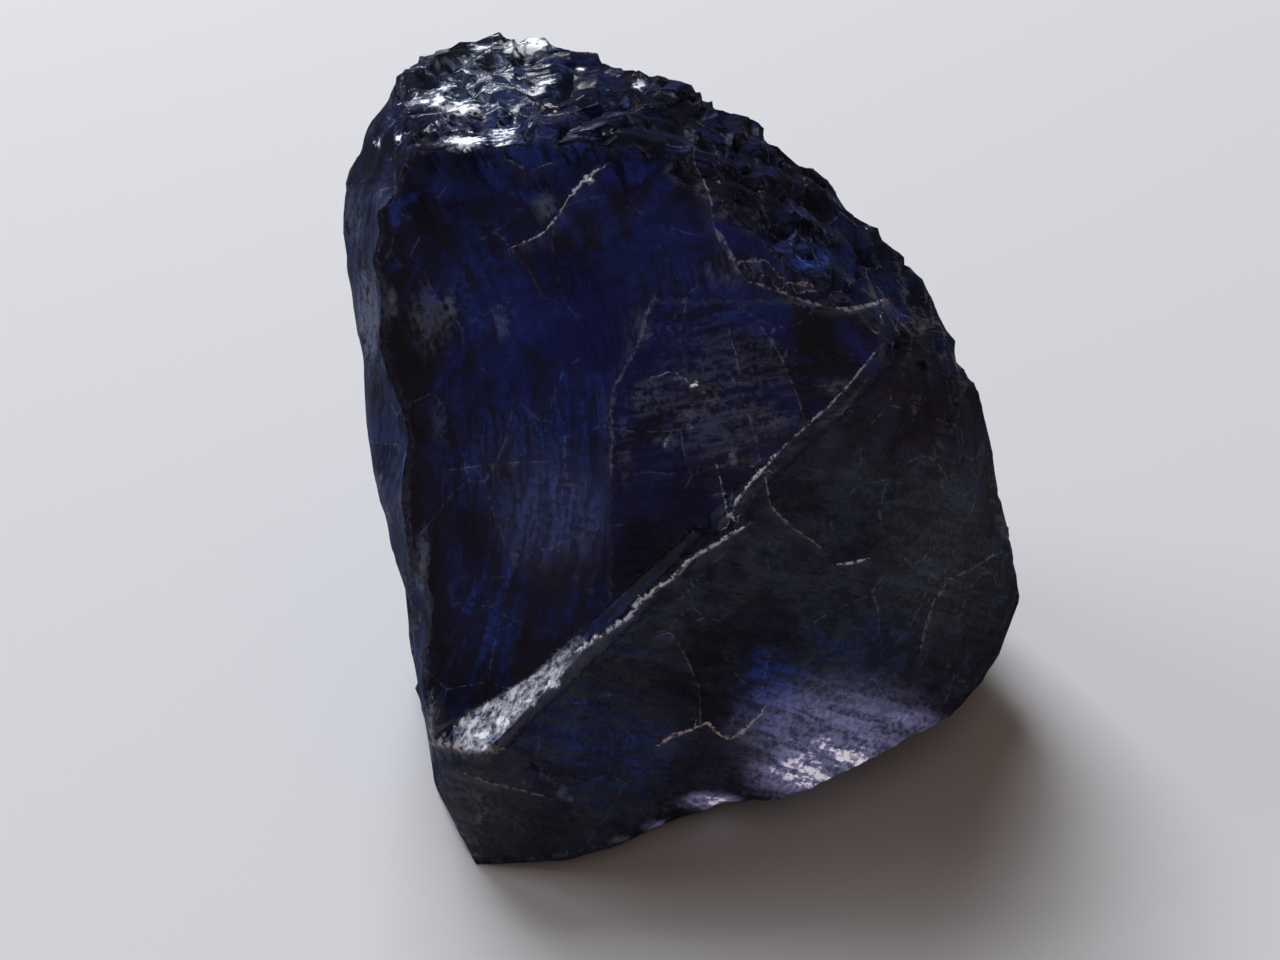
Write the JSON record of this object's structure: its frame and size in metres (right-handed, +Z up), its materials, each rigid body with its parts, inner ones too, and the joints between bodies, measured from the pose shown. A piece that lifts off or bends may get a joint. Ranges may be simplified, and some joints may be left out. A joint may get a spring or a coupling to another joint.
{
  "type": "iolite specimen",
  "caption": "Rough broken crystal of iolite, deep violet blue, with a stepped front face, a splintered crown and a flat base to lie on.",
  "frame": {"origin": "on the flat base, below the middle of the stone's bounding box", "axes": "+Z up from the base to the splintered crown, -Y out of the blue front face, +X to the right as seen from the front"},
  "size_m": [0.0284, 0.0232, 0.0257],
  "materials": {
    "iolite": "vitreous broken crystal, deep violet blue, see-through only at thin edges, with fine splinters on the crown"
  },
  "bodies": {
    "root": {"iolite_specimen": "iolite"}
  },
  "joints": []
}
